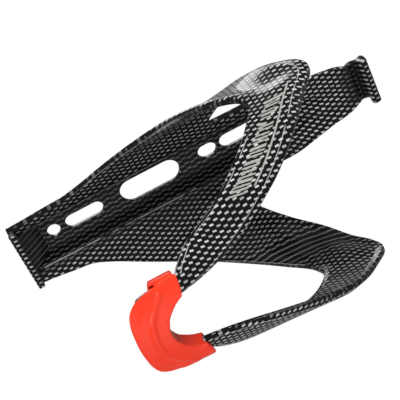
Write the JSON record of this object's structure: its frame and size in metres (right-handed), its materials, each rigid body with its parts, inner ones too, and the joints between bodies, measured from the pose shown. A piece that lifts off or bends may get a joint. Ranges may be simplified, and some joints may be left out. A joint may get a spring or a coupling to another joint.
{
  "type": "bicycle bottle cage",
  "caption": "Moulded bicycle water bottle cage: slotted channel back plate, wings and arms that wrap the bottle to a U at the front, and a soft grip over the U.",
  "frame": {"origin": "midpoint of the two frame bolt positions, on the back plate's flat rear face", "axes": "+Z along the bottle towards its mouth, +Y out of the rear face towards the bicycle frame, -Y towards the grip at the front, +X to the right seen from the front"},
  "size_m": [0.0856, 0.0907, 0.1446],
  "materials": {
    "moulding": "gloss black with a light grey woven-fibre film under clear coat",
    "grip": "smooth semi-gloss red-orange elastomer"
  },
  "bodies": {
    "cage_back": {"back_plate": "moulding", "foot_stop": "moulding", "neck": "moulding", "top_catch": "moulding", "wing_left": "moulding", "wing_right": "moulding"},
    "front_loop": {"arm_left": "moulding", "arm_right": "moulding", "front_bridge": "moulding", "grip": "grip"}
  },
  "joints": [
    {"name": "front_loop_flex", "type": "hinge", "parent": "cage_back", "child": "front_loop", "pos_m": [0, -0.0477, 0.0725], "axis": [-1, 0, 0], "range_deg": [0, 3], "stiffness_Nm_per_rad": 15}
  ]
}
